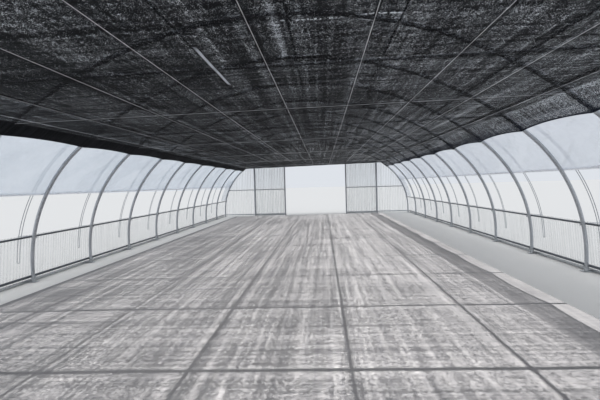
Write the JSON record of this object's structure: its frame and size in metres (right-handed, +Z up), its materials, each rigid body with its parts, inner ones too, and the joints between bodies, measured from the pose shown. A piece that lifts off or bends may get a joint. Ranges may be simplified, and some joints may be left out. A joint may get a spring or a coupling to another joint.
{
  "type": "polytunnel greenhouse",
  "caption": "Polytunnel with round steel hoops, translucent film, roll-up side curtains over clear low walls, a black shade net ceiling and sliding end doors.",
  "frame": {"origin": "middle of the ground that the tunnel covers, on the undersides of the foot plates", "axes": "+Z up, +Y along the tunnel towards the end wall that the picture shows, +X to the right"},
  "size_m": [9.4916, 24.2486, 3.5834],
  "materials": {
    "galvanised_tube": "dull galvanised, weathered",
    "dark_tube": "satin",
    "zinc_plate": "bright galvanised",
    "aluminium_profile": "mill finish",
    "twin_wall_sheet": "clear, fluted",
    "clear_film": "translucent, smooth",
    "rolled_film": "white, smooth",
    "shade_net": "knitted",
    "white_wire": "smooth",
    "ground_fabric": "woven"
  },
  "bodies": {
    "tunnel": {"arch_strips": "aluminium_profile", "base_rail_left": "dark_tube", "base_rail_right": "dark_tube", "cross_wires": "white_wire", "curtain_guides_left": "galvanised_tube", "curtain_guides_right": "galvanised_tube", "curtain_roll_left": "rolled_film", "curtain_roll_right": "rolled_film", "door_frame_near_left": "galvanised_tube", "door_frame_near_right": "galvanised_tube", "door_guides": "zinc_plate", "door_lintels": "galvanised_tube", "door_panes_near_left": "twin_wall_sheet", "door_panes_near_right": "twin_wall_sheet", "door_tracks": "galvanised_tube", "end_bay_films": "clear_film", "end_posts": "galvanised_tube", "end_rails": "galvanised_tube", "end_tie_bars": "galvanised_tube", "end_wall_heads": "twin_wall_sheet", "end_wall_sides": "twin_wall_sheet", "foot_plates": "zinc_plate", "ground_cover": "ground_fabric", "hip_rails": "aluminium_profile", "hoops": "galvanised_tube", "long_wires": "white_wire", "ridge_purlin": "galvanised_tube", "roof_film": "clear_film", "roof_purlins": "galvanised_tube", "shade_net": "shade_net", "side_curtain_left": "clear_film", "side_curtain_right": "clear_film", "side_rail_left": "dark_tube", "side_rail_right": "dark_tube", "side_sheets_left": "twin_wall_sheet", "side_sheets_right": "twin_wall_sheet", "sill_channels": "aluminium_profile", "tie_bars": "galvanised_tube"},
    "door_far_left": {"door_frame_far_left": "galvanised_tube", "door_panes_far_left": "twin_wall_sheet"},
    "door_far_right": {"door_frame_far_right": "galvanised_tube", "door_panes_far_right": "twin_wall_sheet"}
  },
  "joints": [
    {"name": "door_far_left_slide", "type": "slide", "parent": "tunnel", "child": "door_far_left", "axis": [1, 0, 0], "range_m": [0, 1.497]},
    {"name": "door_far_right_slide", "type": "slide", "parent": "tunnel", "child": "door_far_right", "axis": [-1, 0, 0], "range_m": [0, 1.497]}
  ]
}
